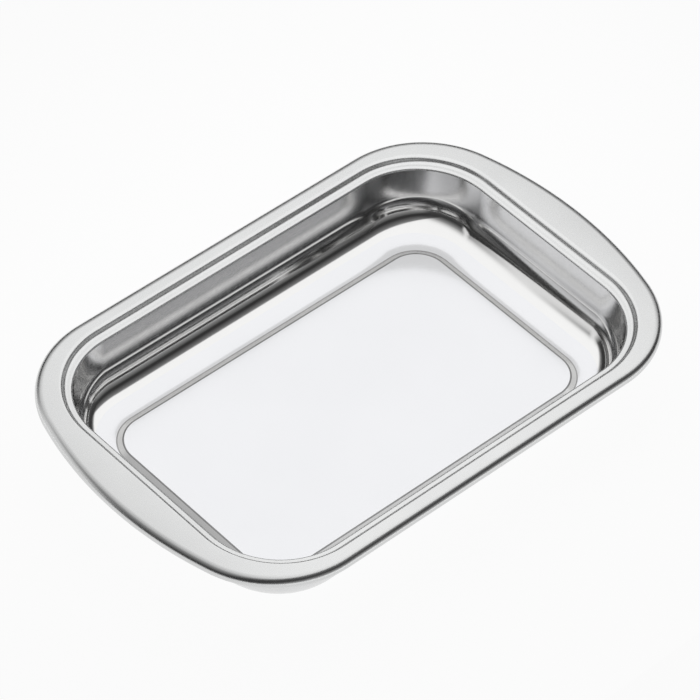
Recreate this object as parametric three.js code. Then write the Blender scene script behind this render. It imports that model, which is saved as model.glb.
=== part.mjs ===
import * as THREE from 'three';

// Rectangular cake pan: one drawn steel sheet whose rim is rolled round a wire.
// Millimetres, +Z up, +X along the length. The origin is the middle of the
// footprint, on the surface that the pan stands on.

const { degToRad, lerp } = THREE.MathUtils;

// The inside of the pan, where the lines of the wall and the ledge would meet
const openingLength = 298.4;
const openingWidth = 199.4;
const openingCorner = 48.2;

// Heights
const panHeight = 49.2;
const ledgeDrop = 4.1; // from the top of the rim down to the ledge
const panelRise = 1.3; // the middle of the floor stands above its border

// The rim, measured outward from the opening in plan
const ledgeWidth = 4.9; // to where the lines of the ledge and the riser would meet
const sideReach = 17.05; // to the outer edge along the two long sides
const cornerReach = 5.3; // how much further the corners stand out along the length
const handleReach = 29.8; // to the outer edge at the middle of each handle end

// The sheet and its bends, with each radius on the upper face
const sheet = 0.7;
const wallDraft = degToRad(2.5);
const floorBend = 23;
const riserSlope = degToRad(78); // of the step between the ledge and the flange
const ledgeEdgeBend = 1.8;
const ledgeRootBend = 2.5;
const flangeEdgeBend = 2.5;
const rollEaseBend = 10; // the flange turns down gently before it rolls over
const rollEaseTurn = degToRad(12);

// The floor's border, outside the raised panel
const rampSlope = degToRad(19.5);
const panelEdgeBend = 3;
const rampFootBend = 2.5;
const gutterWidth = 0.5; // the flat ring that the pan stands on

// The wire in the rolled rim
const wireDiameter = 5;
const wireClearance = 0.4;
const wireEndGap = 1; // where the two ends of the loop meet
const rollTurn = degToRad(298); // how far the sheet is rolled round the wire

// How finely curves are cut into flats
const endSteps = 4;
const cornerSteps = 10;
const sideSteps = 2;
const rampSteps = 3;
const floorBendSteps = 7;
const tightBendSteps = 3;
const easeSteps = 2;
const rollSteps = 11;
const wireSides = 8;
const wireSteps = 100;

// Levels of the upper face, and places measured outward from the opening
const floorLevel = sheet;
const panelLevel = floorLevel + panelRise;
const ledgeLevel = panHeight - ledgeDrop;
const rollRadius = wireDiameter / 2 + wireClearance + sheet;
const rollLevel = panHeight - rollEaseBend + (rollEaseBend - rollRadius) * Math.cos(rollEaseTurn);
const wallRun = (ledgeLevel - floorLevel - floorBend * (1 - Math.sin(wallDraft))) / Math.cos(wallDraft);
const floorBendOut = -wallRun * Math.sin(wallDraft) - floorBend * Math.cos(wallDraft);
const rampEnd = floorBendOut - gutterWidth;
const rampBends = panelEdgeBend + rampFootBend;
const rampDrop = panelRise - rampBends * (1 - Math.cos(rampSlope)); // over its straight part
const rampWidth = rampDrop / Math.tan(rampSlope) + rampBends * Math.sin(rampSlope);
const panelEdge = rampEnd - rampWidth;

// Points and outward directions along a straight stretch in plan
function straight(from, to, facing, steps) {
  const points = [];
  for (let i = 0; i <= steps; i++) {
    const x = lerp(from[0], to[0], i / steps);
    const y = lerp(from[1], to[1], i / steps);
    points.push({ x, y, outX: facing[0], outY: facing[1] });
  }
  return points;
}

// Points and outward directions along an arc in plan
function arc(centreX, centreY, radius, from, to, steps) {
  const points = [];
  for (let i = 0; i <= steps; i++) {
    const outX = Math.cos(lerp(from, to, i / steps));
    const outY = Math.sin(lerp(from, to, i / steps));
    points.push({ x: centreX + radius * outX, y: centreY + radius * outY, outX, outY });
  }
  return points;
}

// A quarter that starts on +X and ends on +Y, mirrored into a whole loop
function mirrored(quarter) {
  const flip = (points, signX, signY) =>
    points.map((p) => ({ x: signX * p.x, y: signY * p.y, outX: signX * p.outX, outY: signY * p.outY }));
  const half = [...quarter, ...flip(quarter, -1, 1).reverse().slice(1)];
  return [...half, ...flip(half, 1, -1).reverse().slice(1, -1)];
}

// The line of the wall in plan: a rounded rectangle
function wallLine() {
  const x = openingLength / 2;
  const y = openingWidth / 2;
  const r = openingCorner;
  return mirrored([
    ...straight([x, 0], [x, y - r], [1, 0], endSteps),
    ...arc(x - r, y - r, r, 0, Math.PI / 2, cornerSteps).slice(1),
    ...straight([x - r, y], [0, y], [0, 1], sideSteps).slice(1),
  ]);
}

// The rim's edge: straight sides, round corners and one long arc across each handle end,
// with the arc's radius set so that it runs smoothly into the corners
function rimShape(inset) {
  const halfWidth = openingWidth / 2 + sideReach;
  const halfLength = openingLength / 2 + handleReach;
  const cornerX = openingLength / 2 - openingCorner + cornerReach;
  const cornerY = openingWidth / 2 - openingCorner;
  const corner = openingCorner + sideReach;
  const span = halfLength - cornerX;
  const handle = (span ** 2 + cornerY ** 2 - corner ** 2) / (2 * (span - corner));
  const handleX = halfLength - handle;
  const sweep = Math.atan2(cornerY, cornerX - handleX);
  return {
    halfWidth: halfWidth - inset,
    cornerX,
    cornerY,
    corner: corner - inset,
    handle: handle - inset,
    handleX,
    sweep,
  };
}

function rimLine() {
  const rim = rimShape(0);
  return mirrored([
    ...arc(rim.handleX, 0, rim.handle, 0, rim.sweep, endSteps),
    ...arc(rim.cornerX, rim.cornerY, rim.corner, rim.sweep, Math.PI / 2, cornerSteps).slice(1),
    ...straight([rim.cornerX, rim.halfWidth], [0, rim.halfWidth], [0, 1], sideSteps).slice(1),
  ]);
}

// The upper face round one bend, seen in cross-section: places out from a line and up,
// with the direction that the face looks. side is 1 where the face bulges, -1 where it is hollow.
function bend(line, centreOut, centreUp, radius, from, to, steps, side) {
  const places = [];
  for (let i = 0; i <= steps; i++) {
    const out = Math.cos(lerp(from, to, i / steps));
    const up = Math.sin(lerp(from, to, i / steps));
    places.push({
      line,
      out: centreOut + radius * out,
      up: centreUp + radius * up,
      faceOut: side * out,
      faceUp: side * up,
    });
  }
  return places;
}

// The ramp from the raised panel down to the floor's border: a straight slope between two bends
function ramp(line) {
  const quarter = Math.PI / 2;
  const top = panelLevel - panelEdgeBend;
  const foot = floorLevel + rampFootBend;
  return [
    ...bend(line, panelEdge, top, panelEdgeBend, quarter, quarter - rampSlope, rampSteps, 1),
    ...bend(line, rampEnd, foot, rampFootBend, -quarter - rampSlope, -quarter, rampSteps, -1),
  ];
}

// The bend between the floor and the wall
function floorToWall(line) {
  const up = floorLevel + floorBend;
  return bend(line, floorBendOut, up, floorBend, -Math.PI / 2, -wallDraft, floorBendSteps, -1);
}

// The step at the top of the wall: over on to the ledge, up the riser, and over on to the flange
function step(line) {
  const run = ledgeEdgeBend * Math.tan(Math.PI / 4 - wallDraft / 2);
  const edgeOut = ledgeEdgeBend * Math.cos(wallDraft) - run * Math.sin(wallDraft);
  const edgeUp = ledgeLevel - ledgeEdgeBend;
  const rootOut = ledgeWidth - ledgeRootBend * Math.tan(riserSlope / 2);
  const rootUp = ledgeLevel + ledgeRootBend;
  const riserTop = ledgeWidth + ledgeDrop / Math.tan(riserSlope);
  const topOut = riserTop + flangeEdgeBend * Math.tan(riserSlope / 2);
  const topUp = panHeight - flangeEdgeBend;
  const quarter = Math.PI / 2;
  const rise = riserSlope - quarter;
  return [
    ...bend(line, edgeOut, edgeUp, ledgeEdgeBend, Math.PI - wallDraft, quarter, tightBendSteps, 1),
    ...bend(line, rootOut, rootUp, ledgeRootBend, -quarter, rise, tightBendSteps, -1),
    ...bend(line, topOut, topUp, flangeEdgeBend, Math.PI + rise, quarter, tightBendSteps, 1),
  ];
}

// The edge of the flange, eased down and then rolled under and round the wire
function rolledEdge(line) {
  const quarter = Math.PI / 2;
  const easeOut = -rollRadius - (rollEaseBend - rollRadius) * Math.sin(rollEaseTurn);
  const easeUp = panHeight - rollEaseBend;
  const turned = quarter - rollEaseTurn;
  const end = quarter - rollTurn;
  return [
    ...bend(line, easeOut, easeUp, rollEaseBend, quarter, turned, easeSteps, 1),
    ...bend(line, -rollRadius, rollLevel, rollRadius, turned, end, rollSteps, 1).slice(1),
  ];
}

// One loop of vertices for a place in the cross-section, sunk below the upper face by depth
function ring(place, depth) {
  const out = place.out - depth * place.faceOut;
  const up = place.up - depth * place.faceUp;
  return place.line.map((p) => [p.x + out * p.outX, p.y + out * p.outY, up]);
}

// A closed skin from nested loops, with the first and the last loop filled by flat fans
function skin(loops) {
  const count = loops[0].length;
  const points = loops.flat();
  const faces = [];
  for (let row = 0; row + 1 < loops.length; row++) {
    for (let i = 0; i < count; i++) {
      const a = row * count + i;
      const b = row * count + ((i + 1) % count);
      faces.push(a, a + count, b + count, a, b + count, b);
    }
  }
  const first = points.length;
  const last = first + 1;
  const lastRow = (loops.length - 1) * count;
  points.push([0, 0, loops[0][0][2]], [0, 0, loops[loops.length - 1][0][2]]);
  for (let i = 0; i < count; i++) {
    const next = (i + 1) % count;
    faces.push(first, i, next, last, lastRow + next, lastRow + i);
  }
  const geometry = new THREE.BufferGeometry();
  geometry.setAttribute('position', new THREE.Float32BufferAttribute(points.flat(), 3));
  geometry.setIndex(faces);
  geometry.computeVertexNormals();
  return geometry;
}

function panShell() {
  const wall = wallLine();
  const places = [...ramp(wall), ...floorToWall(wall), ...step(wall), ...rolledEdge(rimLine())];
  const upper = places.map((place) => ring(place, 0));
  const lower = places.map((place) => ring(place, sheet)).reverse();
  const steel = new THREE.MeshStandardMaterial({ color: 0xdadddd, roughness: 0.28, metalness: 1 });
  const mesh = new THREE.Mesh(skin([...upper, ...lower]), steel);
  mesh.name = 'pan_shell';
  return mesh;
}

// The middle of the rolled edge, all round the rim, open at the gap between the wire's ends
class RimWireLine extends THREE.Curve {
  constructor() {
    super();
    const rim = rimShape(rollRadius);
    const { cornerX, cornerY, corner, handleX, handle, halfWidth, sweep } = rim;
    const { PI } = Math;
    this.loop = new THREE.Path();
    this.loop.moveTo(0, halfWidth);
    this.loop.lineTo(-cornerX, halfWidth);
    this.loop.absarc(-cornerX, cornerY, corner, PI / 2, PI - sweep);
    this.loop.absarc(-handleX, 0, handle, PI - sweep, PI + sweep);
    this.loop.absarc(-cornerX, -cornerY, corner, PI + sweep, 1.5 * PI);
    this.loop.lineTo(cornerX, -halfWidth);
    this.loop.absarc(cornerX, -cornerY, corner, 1.5 * PI, 2 * PI - sweep);
    this.loop.absarc(handleX, 0, handle, -sweep, sweep);
    this.loop.absarc(cornerX, cornerY, corner, sweep, PI / 2);
    this.loop.lineTo(0, halfWidth);
  }

  getPoint(t, target = new THREE.Vector3()) {
    const length = this.loop.getLength();
    const along = wireEndGap / 2 + t * (length - wireEndGap);
    const point = this.loop.getPoint(along / length);
    return target.set(point.x, point.y, rollLevel);
  }
}

function rimWire() {
  const corners = [];
  for (let i = 0; i < wireSides; i++) {
    const angle = (2 * Math.PI * i) / wireSides;
    const radius = wireDiameter / 2;
    corners.push(new THREE.Vector2(radius * Math.cos(angle), radius * Math.sin(angle)));
  }
  const geometry = new THREE.ExtrudeGeometry(new THREE.Shape(corners), {
    extrudePath: new RimWireLine(),
    steps: wireSteps,
  });
  const wire = new THREE.MeshStandardMaterial({ color: 0xb4b7b8, roughness: 0.45, metalness: 1 });
  const mesh = new THREE.Mesh(geometry, wire);
  mesh.name = 'rim_wire';
  return mesh;
}

const cakePan = new THREE.Group();
cakePan.add(panShell(), rimWire());

export default cakePan;
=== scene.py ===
import math

import bmesh
import bpy
from mathutils import Matrix, Vector


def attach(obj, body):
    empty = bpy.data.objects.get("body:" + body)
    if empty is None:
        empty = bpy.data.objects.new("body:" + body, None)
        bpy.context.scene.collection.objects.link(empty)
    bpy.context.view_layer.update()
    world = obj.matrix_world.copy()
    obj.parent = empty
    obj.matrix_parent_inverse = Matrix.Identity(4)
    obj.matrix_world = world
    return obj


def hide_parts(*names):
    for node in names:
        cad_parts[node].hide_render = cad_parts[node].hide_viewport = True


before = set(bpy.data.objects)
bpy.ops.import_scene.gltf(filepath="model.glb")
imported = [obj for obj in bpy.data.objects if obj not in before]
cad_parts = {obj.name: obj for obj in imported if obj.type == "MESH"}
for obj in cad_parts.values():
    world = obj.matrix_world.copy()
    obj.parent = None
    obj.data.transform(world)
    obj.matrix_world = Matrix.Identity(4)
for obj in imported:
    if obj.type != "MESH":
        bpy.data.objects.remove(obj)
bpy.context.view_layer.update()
mm = 0.001
quarter = math.pi / 2


# Camera, fitted to the ledge, the floor panel and the outline of the pan

camera = {
    "turn": -44.23,  # degrees round from straight on to the long side
    "height": 46.49,  # degrees above the table
    "roll": 3.08,
    "distance": 2.51,
    "aim": 43.7 * mm,  # height of the point aimed at
    "slide": (-1.05 * mm, 3.85 * mm),  # across and up the picture
    "lens": 226.6,
    "sensor": 36,
    "reach": 50,  # furthest distance that it sees
}


def makeCamera(c):
    turn, height, roll = (math.radians(c[key]) for key in ("turn", "height", "roll"))
    level = Vector((math.cos(turn), math.sin(turn), 0))
    flat = math.cos(height)
    back = Vector((math.sin(turn) * flat, -math.cos(turn) * flat, math.sin(height)))
    rise = back.cross(level)
    right = math.cos(roll) * level + math.sin(roll) * rise
    up = math.cos(roll) * rise - math.sin(roll) * level
    data = bpy.data.cameras.new("photoCamera")
    data.lens = c["lens"]
    data.sensor_width = c["sensor"]
    data.clip_end = c["reach"]
    obj = bpy.data.objects.new("photoCamera", data)
    obj.matrix_world = Matrix((right, up, back)).transposed().to_4x4()
    obj.location = (
        Vector((0, 0, c["aim"])) + c["distance"] * back
        + c["slide"][0] * right + c["slide"][1] * up
    )
    bpy.context.collection.objects.link(obj)
    bpy.context.scene.camera = obj


makeCamera(camera)
print("camera placed")


# Plan lines that the sheet follows, as points with their outward directions

opening = {
    "halfLength": 149.2 * mm,
    "halfWidth": 99.7 * mm,
    "corner": 48.2 * mm,
}

rim = {
    "sideReach": 17.05 * mm,
    "cornerReach": 5.3 * mm,
    "handleReach": 29.8 * mm,
}

fineness = {
    "end": 20,
    "corner": 40,
    "side": 12,
    "ramp": 8,
    "floorBend": 30,
    "border": 10,  # steps of the floor bend that are finished like the floor
    "tightBend": 8,
    "roll": 44,
}


def straight(a, b, facing, steps):
    return [(Vector(a).lerp(Vector(b), i / steps), Vector(facing)) for i in range(steps + 1)]


def arc(centre, radius, start, stop, steps):
    points = []
    for i in range(steps + 1):
        angle = start + (stop - start) * i / steps
        out = Vector((math.cos(angle), math.sin(angle)))
        points.append((Vector(centre) + radius * out, out))
    return points


def flipped(points, x, y):
    return [(Vector((p.x * x, p.y * y)), Vector((o.x * x, o.y * y))) for p, o in points][::-1]


def mirrored(corner):
    half = corner + flipped(corner, -1, 1)[1:]
    return half + flipped(half, 1, -1)[1:-1]


def wallLine():
    x, y, r = opening["halfLength"], opening["halfWidth"], opening["corner"]
    return mirrored(
        straight((x, 0), (x, y - r), (1, 0), fineness["end"])
        + arc((x - r, y - r), r, 0, quarter, fineness["corner"])[1:]
        + straight((x - r, y), (0, y), (0, 1), fineness["side"])[1:]
    )


def rimLine():
    halfWidth = opening["halfWidth"] + rim["sideReach"]
    halfLength = opening["halfLength"] + rim["handleReach"]
    cornerX = opening["halfLength"] - opening["corner"] + rim["cornerReach"]
    cornerY = opening["halfWidth"] - opening["corner"]
    corner = opening["corner"] + rim["sideReach"]
    span = halfLength - cornerX
    handle = (span**2 + cornerY**2 - corner**2) / (2 * (span - corner))
    handleX = halfLength - handle
    sweep = math.atan2(cornerY, cornerX - handleX)
    return mirrored(
        arc((handleX, 0), handle, 0, sweep, fineness["end"])
        + arc((cornerX, cornerY), corner, sweep, quarter, fineness["corner"])[1:]
        + straight((cornerX, halfWidth), (0, halfWidth), (0, 1), fineness["side"])[1:]
    )


# Cross-section of the sheet: places out from a plan line and up,
# with the way that the upper face looks

sheet = {
    "thickness": 0.7 * mm,
    "height": 49.2 * mm,
    "panelRise": 1.3 * mm,
    "panelEdge": 3 * mm,  # bend radii on the upper face, from here
    "rampFoot": 2.5 * mm,
    "floorBend": 23 * mm,
    "ledgeEdge": 1.8 * mm,
    "ledgeRoot": 2.5 * mm,
    "flangeEdge": 2.5 * mm,
    "ease": 10 * mm,
    "roll": 3.6 * mm,  # to here
    "rampSlope": math.radians(19.5),
    "gutter": 0.5 * mm,  # flat ring that the pan stands on
    "draft": math.radians(2.5),
    "ledgeDrop": 4.1 * mm,
    "ledgeWidth": 4.9 * mm,
    "riserSlope": math.radians(78),
    "easeTurn": math.radians(12),
    "rollTurn": math.radians(298),
}


def bend(line, centre, radius, start, stop, steps, side):
    places = []
    for i in range(steps + 1):
        angle = start + (stop - start) * i / steps
        face = Vector((math.cos(angle), math.sin(angle)))
        places.append((line, Vector(centre) + radius * face, side * face))
    return places


def floorSection(line, s, bendOut):
    slope, edge, foot = s["rampSlope"], s["panelEdge"], s["rampFoot"]
    # drop over the straight part of the ramp
    drop = s["panelRise"] - (edge + foot) * (1 - math.cos(slope))
    rampOut = bendOut - s["gutter"]
    panelOut = rampOut - drop / math.tan(slope) - (edge + foot) * math.sin(slope)
    edgeUp = s["thickness"] + s["panelRise"] - edge
    footUp = s["thickness"] + foot
    steps = fineness["ramp"]
    panelEdge = bend(line, (panelOut, edgeUp), edge, quarter, quarter - slope, steps, 1)
    rampFoot = bend(line, (rampOut, footUp), foot, -quarter - slope, -quarter, steps, -1)
    return panelEdge, rampFoot


def stepSection(line, s, ledge):
    draft, slope, steps = s["draft"], s["riserSlope"], fineness["tightBend"]
    edge, root, top = s["ledgeEdge"], s["ledgeRoot"], s["flangeEdge"]
    edgeRun = edge * math.tan(math.pi / 4 - draft / 2)
    edgeOut = edge * math.cos(draft) - edgeRun * math.sin(draft)
    rootOut = s["ledgeWidth"] - root * math.tan(slope / 2)
    topOut = s["ledgeWidth"] + s["ledgeDrop"] / math.tan(slope) + top * math.tan(slope / 2)
    places = bend(line, (edgeOut, ledge - edge), edge, math.pi - draft, quarter, steps, 1)
    places += bend(line, (rootOut, ledge + root), root, -quarter, slope - quarter, steps, -1)
    places += bend(line, (topOut, s["height"] - top), top, quarter + slope, quarter, steps, 1)
    return places


def rollSection(line, s):
    ease, turn, roll = s["ease"], s["easeTurn"], s["roll"]
    easeOut = -roll - (ease - roll) * math.sin(turn)
    easeUp = s["height"] - ease
    rollUp = easeUp + (ease - roll) * math.cos(turn)
    start, stop = quarter - turn, quarter - s["rollTurn"]
    places = bend(line, (easeOut, easeUp), ease, quarter, start, fineness["tightBend"], 1)
    places += bend(line, (-roll, rollUp), roll, start, stop, fineness["roll"], 1)[1:]
    return places


def sheetSection(s):
    wall = wallLine()
    ledge = s["height"] - s["ledgeDrop"]
    draft, radius = s["draft"], s["floorBend"]
    wallRun = (ledge - s["thickness"] - radius * (1 - math.sin(draft))) / math.cos(draft)
    bendOut = -wallRun * math.sin(draft) - radius * math.cos(draft)
    bendUp = s["thickness"] + radius
    panWall = bend(wall, (bendOut, bendUp), radius, -quarter, -draft, fineness["floorBend"], -1)
    panRim = stepSection(wall, s, ledge) + rollSection(rimLine(), s)
    panelEdge, rampFoot = floorSection(wall, s, bendOut)
    border = fineness["border"]
    return [
        # painted shade: the panel's edge bend gets a dark steel colour that stands for its dark
        # reflection line
        ("edgePaintedShadeSteel", panelEdge[:-1]),
        # painted shade: the straight ramp gets a darker copy of the floor steel
        ("rampPaintedShadeSteel", panelEdge[-1:]),
        # painted shade: the ramp's foot bend gets a darker steel colour that stands for its dark
        # reflection line
        ("footPaintedShadeSteel", rampFoot[:-1]),
        ("floorSteel", rampFoot[-1:] + panWall[:border]),
        ("bendSteel", panWall[border:-1]),
        ("wallSteel", panWall[-1:]),
        ("rimSteel", panRim),
    ]


def sheetLoop(place, depth):
    line, spot, face = place
    spot = spot - depth * face
    return [(p.x + spot.x * o.x, p.y + spot.x * o.y, spot.y) for p, o in line]


def sheetFacing(place, side):
    line, _, face = place
    return [(side * face.x * o.x, side * face.x * o.y, side * face.y) for _, o in line]


shellSteels = (
    "floorSteel", "edgePaintedShadeSteel", "rampPaintedShadeSteel", "footPaintedShadeSteel",
    "bendSteel", "wallSteel", "rimSteel", "underSteel",
)


def makeShell(s):
    zones = sheetSection(s)
    places = [place for _, zone in zones for place in zone]
    under = shellSteels.index("underSteel")
    # finish of each strip along the section, over the upper face and back under it
    upper = [shellSteels.index(name) for name, zone in zones for _ in zone]
    finish = upper[:-1] + [under] * len(places)
    loops = [sheetLoop(place, 0) for place in places]
    loops += [sheetLoop(place, s["thickness"]) for place in places[::-1]]
    facing = [way for place in places for way in sheetFacing(place, 1)]
    facing += [way for place in places[::-1] for way in sheetFacing(place, -1)]
    mesh = bmesh.new()
    rows = [[mesh.verts.new(spot) for spot in loop] for loop in loops]
    count = len(rows[0])
    for inner, outer, slot in zip(rows, rows[1:], finish):
        for i in range(count):
            j = (i + 1) % count
            mesh.faces.new((inner[i], outer[i], outer[j], inner[j])).material_index = slot
    mesh.faces.new(rows[0]).material_index = shellSteels.index("floorSteel")
    mesh.faces.new(rows[-1][::-1]).material_index = under
    for face in mesh.faces:
        face.smooth = True
    data = bpy.data.meshes.new("pan_shell_sheet")
    mesh.to_mesh(data)
    mesh.free()
    # exact directions of the bends, flat on the cut edge inside the roll
    cutEdge = range((len(places) - 1) * count, len(places) * count)
    ways = []
    for face in data.polygons:
        for corner in face.vertices:
            ways.append(face.normal if face.index in cutEdge else facing[corner])
    data.normals_split_custom_set(ways)
    obj = bpy.data.objects.new("pan_shell_sheet", data)
    bpy.context.collection.objects.link(obj)
    return obj


shell = makeShell(sheet)
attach(shell, "root")
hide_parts("pan_shell")
print("pan shell built with", len(shell.data.polygons), "faces")


# Steel: two close tones in soft clouds, and a fine grain in gloss and height

finishes = {
    "floorSteel": {
        "tones": ((0.702, 0.706, 0.722), (0.714, 0.718, 0.734)),
        "cloud": 14,
        "grain": (900, 900, 900),
        "gloss": (0.12, 0.17),
        "height": 0.0004 * mm,
    },
    # painted shade: this near-black tone paints the dark reflection line of the panel's edge
    # bend into the steel
    "edgePaintedShadeSteel": {
        "tones": ((0.2, 0.2, 0.2), (0.24, 0.24, 0.24)),
        "cloud": 40,
        "grain": (900, 900, 900),
        "gloss": (0.15, 0.22),
        "height": 0.0005 * mm,
    },
    # painted shade: this dark tone paints the reflection line of the ramp's foot bend into the
    # steel
    "footPaintedShadeSteel": {
        "tones": ((0.36, 0.36, 0.36), (0.4, 0.4, 0.4)),
        "cloud": 40,
        "grain": (900, 900, 900),
        "gloss": (0.15, 0.22),
        "height": 0.0005 * mm,
    },
    # painted shade: a darker tone than the floor steel, which darkens the ramp's reflection
    "rampPaintedShadeSteel": {
        "tones": ((0.64, 0.64, 0.64), (0.67, 0.67, 0.67)),
        "cloud": 40,
        "grain": (900, 900, 900),
        "gloss": (0.12, 0.18),
        "height": 0.0005 * mm,
    },
    "bendSteel": {
        "tones": ((0.714, 0.712, 0.707), (0.728, 0.726, 0.721)),
        "cloud": 20,
        "grain": (500, 500, 60),
        "gloss": (0.06, 0.1),
        "height": 0.0004 * mm,
    },
    "wallSteel": {
        "tones": ((0.714, 0.712, 0.707), (0.728, 0.726, 0.721)),
        "cloud": 20,
        "grain": (500, 500, 60),
        "gloss": (0.12, 0.16),
        "height": 0.0002 * mm,
    },
    "rimSteel": {
        "tones": ((0.655, 0.659, 0.658), (0.672, 0.676, 0.675)),
        "cloud": 30,
        "grain": (1500, 1500, 1500),
        "gloss": (0.25, 0.31),
        "height": 0.0004 * mm,
    },
    "underSteel": {
        "tones": ((0.7, 0.702, 0.704), (0.74, 0.742, 0.744)),
        "cloud": 20,
        "grain": (1200, 1200, 1200),
        "gloss": (0.18, 0.26),
        "height": 0.001 * mm,
    },
    "wireSteel": {
        "tones": ((0.5, 0.5, 0.5), (0.58, 0.58, 0.575)),
        "cloud": 60,
        "grain": (900, 900, 900),
        "gloss": (0.38, 0.5),
        "height": 0.002 * mm,
    },
}

steelNoise = {
    "cloudDetail": 4,
    "cloudStops": (0.35, 0.65),  # noise levels of the first and the second tone
    "grainDetail": 3,
    "grainStops": (0.3, 0.7),  # noise levels of the lowest and the highest roughness
}


def steel(name, look):
    material = bpy.data.materials.new(name)
    material.use_nodes = True
    nodes, links = material.node_tree.nodes, material.node_tree.links
    shader = nodes["Principled BSDF"]
    shader.inputs["Metallic"].default_value = 1
    place = nodes.new("ShaderNodeTexCoord").outputs["Object"]
    cloud = nodes.new("ShaderNodeTexNoise")
    cloud.inputs["Scale"].default_value = look["cloud"]
    cloud.inputs["Detail"].default_value = steelNoise["cloudDetail"]
    links.new(place, cloud.inputs["Vector"])
    tones = nodes.new("ShaderNodeValToRGB")
    stops = zip(tones.color_ramp.elements, steelNoise["cloudStops"], look["tones"])
    for stop, where, tone in stops:
        stop.position = where
        stop.color = tone + (1,)
    links.new(cloud.outputs["Fac"], tones.inputs["Fac"])
    links.new(tones.outputs["Color"], shader.inputs["Base Color"])
    spread = nodes.new("ShaderNodeMapping")
    spread.inputs["Scale"].default_value = look["grain"]
    links.new(place, spread.inputs["Vector"])
    grain = nodes.new("ShaderNodeTexNoise")
    grain.inputs["Scale"].default_value = 1
    grain.inputs["Detail"].default_value = steelNoise["grainDetail"]
    links.new(spread.outputs["Vector"], grain.inputs["Vector"])
    gloss = nodes.new("ShaderNodeMapRange")
    low, high = steelNoise["grainStops"]
    gloss.inputs["From Min"].default_value = low
    gloss.inputs["From Max"].default_value = high
    gloss.inputs["To Min"].default_value, gloss.inputs["To Max"].default_value = look["gloss"]
    links.new(grain.outputs["Fac"], gloss.inputs["Value"])
    links.new(gloss.outputs["Result"], shader.inputs["Roughness"])
    bump = nodes.new("ShaderNodeBump")
    bump.inputs["Distance"].default_value = look["height"]
    links.new(grain.outputs["Fac"], bump.inputs["Height"])
    links.new(bump.outputs["Normal"], shader.inputs["Normal"])
    return material


for name in shellSteels:
    shell.data.materials.append(steel(name, finishes[name]))
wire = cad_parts["rim_wire"]
wire.data.materials.clear()
wire.data.materials.append(steel("wireSteel", finishes["wireSteel"]))
print("steel finished")


# Table

table = {
    "size": 12.0,
    "white": 0.9,
    "glow": 0.95,  # how much of the white is its own, the rest keeps the shadow
}


def makeTable(t):
    half = t["size"] / 2
    data = bpy.data.meshes.new("table")
    corners = [(-half, -half, 0), (half, -half, 0), (half, half, 0), (-half, half, 0)]
    data.from_pydata(corners, [], [(0, 1, 2, 3)])
    obj = bpy.data.objects.new("table", data)
    bpy.context.collection.objects.link(obj)
    material = bpy.data.materials.new("tableWhite")
    material.use_nodes = True
    nodes, links = material.node_tree.nodes, material.node_tree.links
    shader = nodes["Principled BSDF"]
    shader.inputs["Base Color"].default_value = (t["white"],) * 3 + (1,)
    shader.inputs["Roughness"].default_value = 1
    path = nodes.new("ShaderNodeLightPath")
    seen = path.outputs["Is Camera Ray"]
    for ray in ("Is Glossy Ray", "Is Transmission Ray"):
        either = nodes.new("ShaderNodeMath")
        either.operation = "MAXIMUM"
        links.new(seen, either.inputs[0])
        links.new(path.outputs[ray], either.inputs[1])
        seen = either.outputs[0]
    share = nodes.new("ShaderNodeMath")
    share.operation = "MULTIPLY"
    share.inputs[1].default_value = t["glow"]
    links.new(seen, share.inputs[0])
    mix = nodes.new("ShaderNodeMixShader")
    links.new(share.outputs[0], mix.inputs[0])
    links.new(shader.outputs[0], mix.inputs[1])
    links.new(nodes.new("ShaderNodeEmission").outputs[0], mix.inputs[2])
    links.new(mix.outputs[0], nodes["Material Output"].inputs[0])
    data.materials.append(material)
    return obj


makeTable(table)
print("table laid")


# Light: a soft box over the pan and two upright cards, each with its brightness along both sides

lamps = {
    "overhead": {
        "white": 1.2,  # brightness where both rows of stops say 1
        "level": 0.2,  # height, or for an upright card its place along the width
        "upright": 0,  # 0 lies flat, 1 faces the pan from the front and -1 from the back
        "across": (
            (-0.45, 0), (-0.3, 0.1), (-0.2, 0.25), (-0.16, 0.45), (-0.08, 0.92), (-0.04, 1),
            (0.29, 1), (0.32, 0.6), (0.355, 0.2), (0.45, 0),
        ),
        "along": (
            (-0.24, 0), (-0.19, 0.05), (-0.15, 0.1), (-0.118, 0.16), (-0.11, 0.2), (-0.103, 0.4),
            (-0.096, 0.85), (-0.09, 1), (0.25, 1), (0.285, 0.5), (0.32, 0.16), (0.42, 0),
        ),
    },
    "backLeft": {
        "white": 0.9,
        "level": 0.25,
        "upright": -1,
        "across": ((-0.6, 0), (-0.45, 1), (-0.26, 1), (-0.13, 0)),
        "along": (
            (0.02, 0.5), (0.07, 0.85), (0.16, 1), (0.2, 0.85),
            (0.235, 0.7), (0.26, 0.45), (0.29, 0.2), (0.31, 0),
        ),
    },
    "frontCard": {
        "white": 0.3,
        "level": -0.25,
        "upright": 1,
        "across": ((-0.35, 0), (-0.2, 1), (0.25, 1), (0.4, 0)),
        "along": ((0, 1), (0.07, 1), (0.13, 0.4), (0.17, 0)),
    },
}


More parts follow.
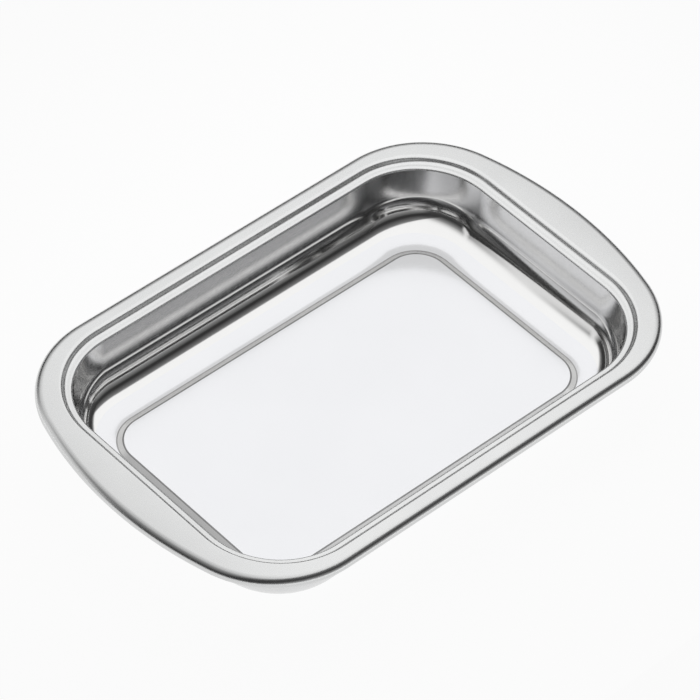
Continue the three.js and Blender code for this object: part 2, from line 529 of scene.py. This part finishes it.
def brightness(nodes, links, value, stops):
    low, high = stops[0][0], stops[-1][0]
    spread = nodes.new("ShaderNodeMapRange")
    spread.inputs["From Min"].default_value = low
    spread.inputs["From Max"].default_value = high
    links.new(value, spread.inputs["Value"])
    ramp = nodes.new("ShaderNodeValToRGB")
    points = ramp.color_ramp.elements
    while len(points) < len(stops):
        points.new(0.5)  # put in its place below
    for point, (where, light) in zip(points, stops):
        point.position = (where - low) / (high - low)
        point.color = (light, light, light, 1)
    links.new(spread.outputs["Result"], ramp.inputs["Fac"])
    return ramp.outputs["Color"]


def makeLamp(name, lamp):
    across, along = lamp["across"], lamp["along"]
    wide, deep = across[-1][0] - across[0][0], along[-1][0] - along[0][0]
    data = bpy.data.lights.new(name, "AREA")
    data.shape = "RECTANGLE"
    data.size, data.size_y = wide, deep
    data.energy = lamp["white"] * math.pi * wide * deep
    data.use_nodes = True
    nodes, links = data.node_tree.nodes, data.node_tree.links
    split = nodes.new("ShaderNodeSeparateXYZ")
    links.new(nodes.new("ShaderNodeNewGeometry").outputs["Position"], split.inputs[0])
    both = nodes.new("ShaderNodeVectorMath")
    both.operation = "MULTIPLY"
    axis = 2 if lamp["upright"] else 1
    links.new(brightness(nodes, links, split.outputs[0], across), both.inputs[0])
    links.new(brightness(nodes, links, split.outputs[axis], along), both.inputs[1])
    links.new(both.outputs[0], nodes["Emission"].inputs["Color"])
    obj = bpy.data.objects.new(name, data)
    middle = (across[0][0] + across[-1][0]) / 2, (along[0][0] + along[-1][0]) / 2
    if lamp["upright"]:
        obj.location = (middle[0], lamp["level"], middle[1])
    else:
        obj.location = middle + (lamp["level"],)
    obj.rotation_euler = (lamp["upright"] * quarter, 0, 0)
    obj.visible_camera = False
    bpy.context.collection.objects.link(obj)


for name, lamp in lamps.items():
    makeLamp(name, lamp)

room = ((0, 0.12), (0.12, 0.1), (0.22, 0.06), (0.35, 0.04), (1, 0.04))  # from the horizon up


def makeRoom():
    world = bpy.data.worlds.new("studio")
    world.use_nodes = True
    nodes, links = world.node_tree.nodes, world.node_tree.links
    split = nodes.new("ShaderNodeSeparateXYZ")
    links.new(nodes.new("ShaderNodeTexCoord").outputs["Generated"], split.inputs[0])
    light = brightness(nodes, links, split.outputs[2], room)
    links.new(light, nodes["Background"].inputs["Color"])
    bpy.context.scene.world = world


makeRoom()
bpy.context.scene.view_settings.view_transform = "Standard"
print("studio lit")
